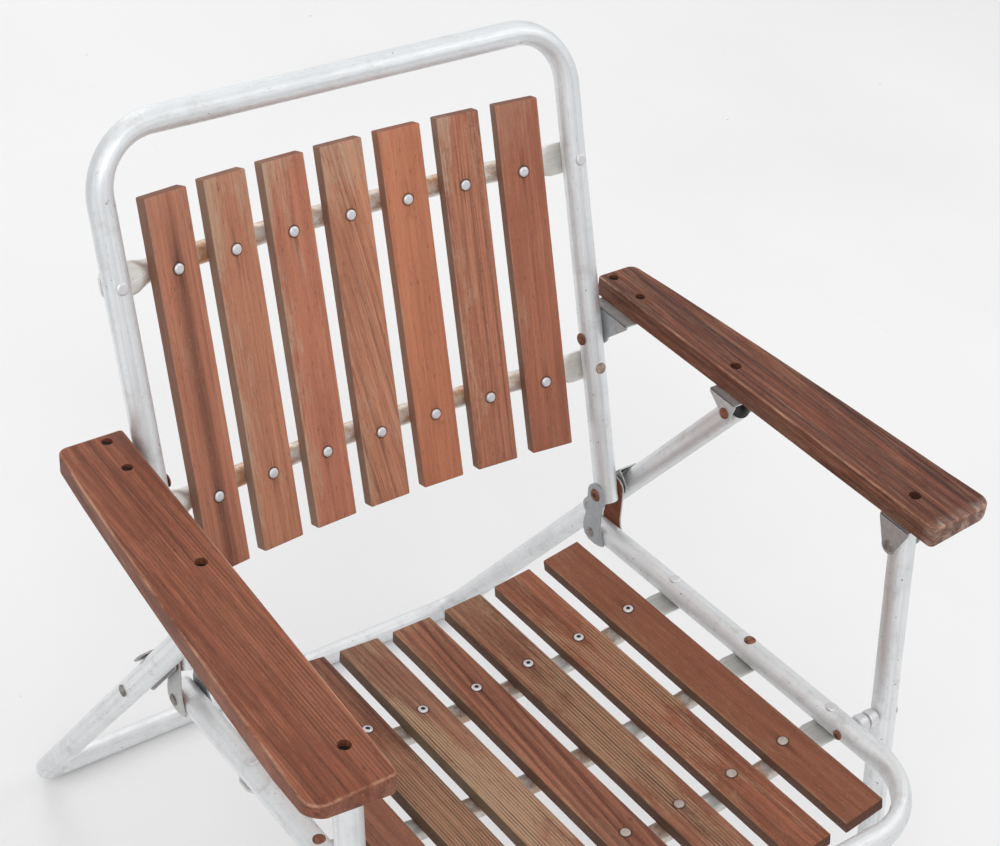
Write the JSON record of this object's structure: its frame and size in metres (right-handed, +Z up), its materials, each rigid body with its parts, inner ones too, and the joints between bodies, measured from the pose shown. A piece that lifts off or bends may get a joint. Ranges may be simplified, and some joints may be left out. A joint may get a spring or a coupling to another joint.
{
  "type": "folding beach chair",
  "caption": "Low folding armchair: bent aluminium tube seat, back and leg frames carry redwood slats on bowed cross rails, with flat tapered wooden arms.",
  "frame": {"origin": "on the floor, under the middle of the open chair's bounding box", "axes": "+Z up, the front of the chair faces -Y, +X to the left of someone who sits in it"},
  "size_m": [0.645, 0.725, 0.8196],
  "materials": {
    "aluminium_tube": "satin, streaked and scratched",
    "aluminium_rail": "satin, weathered with a light gold and brown stain",
    "aluminium_rivet": "satin domed heads with dark rims",
    "redwood_slat": "red-brown stain, weathered, each slat different",
    "redwood_arm": "red-brown stain, long grain, worn corners",
    "galvanised_steel": "dull grey zinc with rusty edges",
    "rusty_steel": "matt brown rust",
    "black_plastic": "matt black"
  },
  "bodies": {
    "seat": {"seat_frame": "aluminium_tube", "seat_rail_rear": "aluminium_rail", "seat_rail_middle": "aluminium_rail", "seat_rail_front": "aluminium_rail", "seat_slat_1": "redwood_slat", "seat_slat_2": "redwood_slat", "seat_slat_3": "redwood_slat", "seat_slat_4": "redwood_slat", "seat_slat_5": "redwood_slat", "seat_slat_6": "redwood_slat", "seat_slat_7": "redwood_slat", "seat_rivets_rear": "aluminium_rivet", "seat_rivets_front": "aluminium_rivet", "seat_rail_rivets": "rusty_steel", "hinge_inner_left": "galvanised_steel", "hinge_inner_right": "galvanised_steel", "hinge_outer_left": "galvanised_steel", "hinge_outer_right": "galvanised_steel", "hinge_rivets": "rusty_steel", "back_pivots": "rusty_steel", "leg_spacers": "galvanised_steel"},
    "back": {"back_frame": "aluminium_tube", "back_rail_lower": "aluminium_rail", "back_rail_upper": "aluminium_rail", "back_slat_1": "redwood_slat", "back_slat_2": "redwood_slat", "back_slat_3": "redwood_slat", "back_slat_4": "redwood_slat", "back_slat_5": "redwood_slat", "back_slat_6": "redwood_slat", "back_slat_7": "redwood_slat", "back_rivets": "aluminium_rivet", "back_rail_rivets": "aluminium_rivet"},
    "arms": {"arm_left": "redwood_arm", "arm_right": "redwood_arm", "arm_bracket_left": "galvanised_steel", "arm_bracket_right": "galvanised_steel", "rear_clevis_left": "galvanised_steel", "rear_clevis_right": "galvanised_steel", "front_clevis_left": "galvanised_steel", "front_clevis_right": "galvanised_steel", "arm_screws": "rusty_steel", "arm_pivots": "rusty_steel", "rear_leg_pivots": "rusty_steel", "front_leg_pivots": "rusty_steel"},
    "front_leg": {"front_leg_frame": "aluminium_tube", "front_leg_plugs": "black_plastic", "front_leg_rivets": "galvanised_steel"},
    "rear_leg": {"rear_leg_frame": "aluminium_tube", "rear_leg_plugs": "black_plastic", "link_rivets": "rusty_steel"},
    "links": {"link_left": "galvanised_steel", "link_right": "galvanised_steel", "link_heads": "rusty_steel"}
  },
  "joints": [
    {"name": "back_fold", "type": "hinge", "parent": "seat", "child": "back", "pos_m": [0, 0.10341, 0.389], "axis": [1, 0, 0], "range_deg": [0, 97]},
    {"name": "arm_swing", "type": "hinge", "parent": "back", "child": "arms", "pos_m": [0, 0.16055, 0.53631], "axis": [1, 0, 0], "range_deg": [-91.76, 0]},
    {"name": "front_leg_swing", "type": "hinge", "parent": "arms", "child": "front_leg", "pos_m": [0, -0.20831, 0.55813], "axis": [1, 0, 0], "range_deg": [0, 85.76]},
    {"name": "rear_leg_swing", "type": "hinge", "parent": "arms", "child": "rear_leg", "pos_m": [0, -0.00695, 0.55719], "axis": [1, 0, 0], "range_deg": [0, 38.31]},
    {"name": "link_swing", "type": "hinge", "parent": "rear_leg", "child": "links", "pos_m": [0, 0.13907, 0.33465], "axis": [1, 0, 0], "range_deg": [-151.86, 0]}
  ],
  "couplings": [
    {"joint": "arm_swing", "follows": "back_fold", "ratio": -0.9439},
    {"joint": "front_leg_swing", "follows": "back_fold", "ratio": 0.8821},
    {"joint": "rear_leg_swing", "follows": "back_fold", "ratio": 0.3929},
    {"joint": "link_swing", "follows": "back_fold", "ratio": -1.5635}
  ]
}
